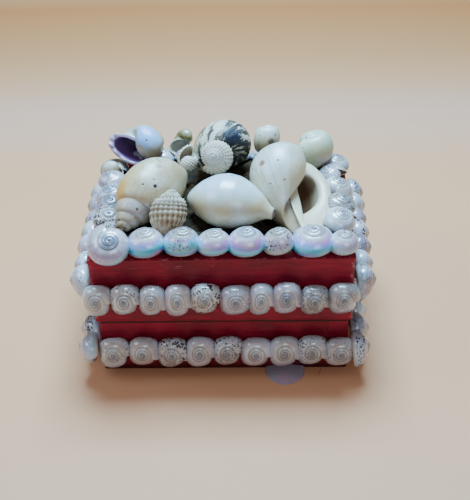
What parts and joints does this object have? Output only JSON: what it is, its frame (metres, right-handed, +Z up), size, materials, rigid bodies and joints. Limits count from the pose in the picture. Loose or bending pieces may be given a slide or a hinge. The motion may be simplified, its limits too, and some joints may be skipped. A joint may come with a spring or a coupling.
{
  "type": "shell box",
  "caption": "Small rectangular red card box with a deep lift-off lid, its walls ringed with rows of button top shells and its top heaped with large sea snail shells.",
  "frame": {"origin": "middle of the tray's underside", "axes": "+Z up, -Y out of the front wall, +X to the right seen from the front"},
  "size_m": [0.1292, 0.1012, 0.0894],
  "materials": {
    "red_card": "satin dark red paper over card",
    "set_glue": "yellowed clear glue with brown dirt",
    "button_pearl": "pearly cream and lilac, some speckled black, with a blue and green sheen",
    "cream_shell": "glossy cream",
    "white_shell": "satin chalky white",
    "blue_white_shell": "glossy, pale blue to white, one with a violet mouth",
    "black_white_shell": "glossy white with navy and black streaks",
    "tan_shell": "matt tan and cream",
    "lilac_shell": "glossy lilac pearl"
  },
  "bodies": {
    "root": {"tray": "red_card", "lid": "red_card", "glue_bed": "set_glue", "foot_chip": "lilac_shell", "white_whelk": "white_shell", "white_moon_snail": "white_shell", "ribbed_snail_left": "white_shell", "ribbed_snail_right": "white_shell", "cream_whelk": "cream_shell", "egg_shell": "cream_shell", "broken_snail": "cream_shell", "dome_snail": "black_white_shell", "purple_mouth_snail": "blue_white_shell", "green_moon_snail": "blue_white_shell", "beaded_whelk": "tan_shell", "pearly_snail": "tan_shell", "border_front_1": "button_pearl", "border_front_2": "button_pearl", "border_front_3": "button_pearl", "border_front_4": "button_pearl", "border_front_5": "button_pearl", "border_front_6": "button_pearl", "border_front_7": "button_pearl", "border_front_8": "button_pearl", "border_left_1": "button_pearl", "border_left_2": "button_pearl", "border_left_3": "button_pearl", "border_left_4": "button_pearl", "border_left_5": "button_pearl", "border_right_1": "button_pearl", "border_right_2": "button_pearl", "border_right_3": "button_pearl", "border_right_4": "button_pearl", "border_right_5": "button_pearl", "border_back_1": "button_pearl", "border_back_2": "button_pearl", "border_back_3": "button_pearl", "border_back_4": "button_pearl", "border_back_5": "button_pearl", "border_back_6": "button_pearl", "border_back_7": "button_pearl", "border_back_8": "button_pearl", "lid_front_shell_1": "button_pearl", "lid_front_shell_2": "button_pearl", "lid_front_shell_3": "button_pearl", "lid_front_shell_4": "button_pearl", "lid_front_shell_5": "button_pearl", "lid_front_shell_6": "button_pearl", "lid_front_shell_7": "button_pearl", "lid_front_shell_8": "button_pearl", "lid_front_shell_9": "button_pearl", "lid_front_shell_10": "button_pearl", "lid_left_row": "button_pearl", "lid_right_row": "button_pearl", "lid_back_row": "button_pearl", "tray_front_row": "button_pearl", "tray_left_row": "button_pearl", "tray_right_row": "button_pearl", "tray_back_row": "button_pearl"}
  },
  "joints": []
}
